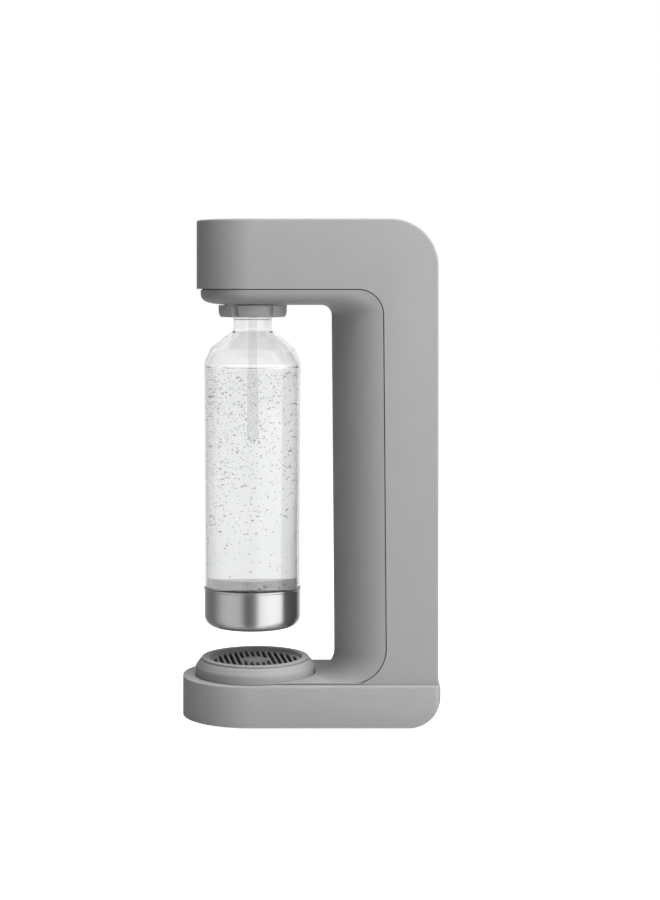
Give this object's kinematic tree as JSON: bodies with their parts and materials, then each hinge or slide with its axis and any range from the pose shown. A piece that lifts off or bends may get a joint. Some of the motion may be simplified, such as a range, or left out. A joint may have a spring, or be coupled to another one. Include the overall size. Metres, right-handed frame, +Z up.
{
  "type": "soda carbonator",
  "caption": "Countertop soda carbonator: C-shaped grey machine with a press button on its head, a clear bottle with a steel base cup, a round slotted drip tray and a gas cylinder in its column.",
  "frame": {"origin": "on the surface the machine stands on, under the middle of its base", "axes": "+Z up, front (bottle side) towards -Y, width along X"},
  "size_m": [0.121, 0.2194, 0.427],
  "materials": {
    "shell_plastic": "satin moulded plastic, mid grey",
    "liner_plastic": "satin moulded plastic, mid grey",
    "collar_plastic": "satin moulded plastic, darker grey",
    "black_plastic": "dark moulded plastic",
    "frame_plastic": "glass-filled plastic",
    "rubber": "moulded rubber",
    "bottle_steel": "circumferentially brushed stainless steel",
    "steel": "plain steel",
    "brass": "machined brass",
    "cylinder_paint": "painted aluminium",
    "clear_bottle": null,
    "hose": "flexible gas hose"
  },
  "bodies": {
    "root": {"base_housing": "shell_plastic", "base_plate": "black_plastic", "base_screw_1": "steel", "base_screw_2": "steel", "base_screw_3": "steel", "base_screw_4": "steel", "bottle_seal": "rubber", "button_guide": "collar_plastic", "button_spring": "steel", "collar_screw_1": "steel", "collar_screw_2": "steel", "cover_hinge_pin": "steel", "cylinder_cradle": "frame_plastic", "foot_front_left": "rubber", "foot_front_right": "rubber", "foot_rear_left": "rubber", "foot_rear_right": "rubber", "gas_hose": "hose", "head_frame": "frame_plastic", "head_screw_1": "steel", "head_screw_2": "steel", "head_screw_3": "steel", "head_screw_4": "steel", "hose_nut_manifold": "brass", "hose_nut_valve": "brass", "inner_liner": "liner_plastic", "latch_plate": "steel", "lever_pin": "steel", "nozzle_collar": "collar_plastic", "nozzle_manifold": "frame_plastic", "nozzle_tip": "steel", "nozzle_tube": "frame_plastic", "outer_shell": "shell_plastic", "plunger_seal": "rubber", "relief_body": "brass", "relief_cap": "black_plastic", "relief_spring": "steel", "valve_block": "brass", "valve_seal": "rubber"},
    "button": {"push_button": "shell_plastic"},
    "lever": {"press_lever": "steel"},
    "plunger": {"valve_plunger": "steel"},
    "relief": {"relief_poppet": "steel"},
    "cylinder": {"cylinder_body": "cylinder_paint", "cylinder_valve": "brass"},
    "cylinder_pin": {"cylinder_valve_pin": "steel"},
    "bottle": {"bottle_body": "clear_bottle", "bottle_base_cup": "bottle_steel"},
    "tray": {"drip_tray": "liner_plastic"},
    "grille": {"drip_grille": "liner_plastic"},
    "cover": {"rear_cover": "shell_plastic", "cover_magnet": "steel"}
  },
  "joints": [
    {"name": "button_press", "type": "slide", "parent": "root", "child": "button", "axis": [0, 0, 1], "range_m": [-0.008, 0], "stiffness_N_per_m": 400, "springref_m": 0.004, "deforming": ["button_spring"]},
    {"name": "lever_pivot", "type": "hinge", "parent": "root", "child": "lever", "pos_m": [0, 0.092, 0.4013], "axis": [1, 0, 0], "range_deg": [0, 3.4]},
    {"name": "plunger_slide", "type": "slide", "parent": "root", "child": "plunger", "axis": [0, 0, 1], "range_m": [-0.0016, 0]},
    {"name": "relief_lift", "type": "slide", "parent": "root", "child": "relief", "axis": [0, 0, 1], "range_m": [0, 0.0015], "stiffness_N_per_m": 300, "springref_m": -0.002, "deforming": ["relief_spring"]},
    {"name": "cylinder_unscrew", "type": "hinge", "parent": "root", "child": "cylinder", "pos_m": [0, 0.068, 0.2], "axis": [0, 0, 1], "range_deg": [-1080, 0]},
    {"name": "cylinder_pin_slide", "type": "slide", "parent": "cylinder", "child": "cylinder_pin", "axis": [0, 0, 1], "range_m": [-0.0016, 0]},
    {"name": "bottle_unscrew", "type": "hinge", "parent": "root", "child": "bottle", "pos_m": [0, -0.0495, 0.2], "axis": [0, 0, 1], "range_deg": [-150, 0]},
    {"name": "tray_lift", "type": "slide", "parent": "root", "child": "tray", "axis": [0, 0, 1], "range_m": [0, 0.015]},
    {"name": "grille_lift", "type": "slide", "parent": "tray", "child": "grille", "axis": [0, 0, 1], "range_m": [0, 0.008]},
    {"name": "cover_open", "type": "hinge", "parent": "root", "child": "cover", "pos_m": [0, 0.1045, 0.0445], "axis": [-1, 0, 0], "range_deg": [0, 15]}
  ],
  "couplings": [
    {"joint": "lever_pivot", "follows": "button_press", "rad_per_m": -7.0671},
    {"joint": "plunger_slide", "follows": "button_press", "ratio": 0.16961},
    {"joint": "cylinder_pin_slide", "follows": "button_press", "ratio": 0.16961}
  ]
}
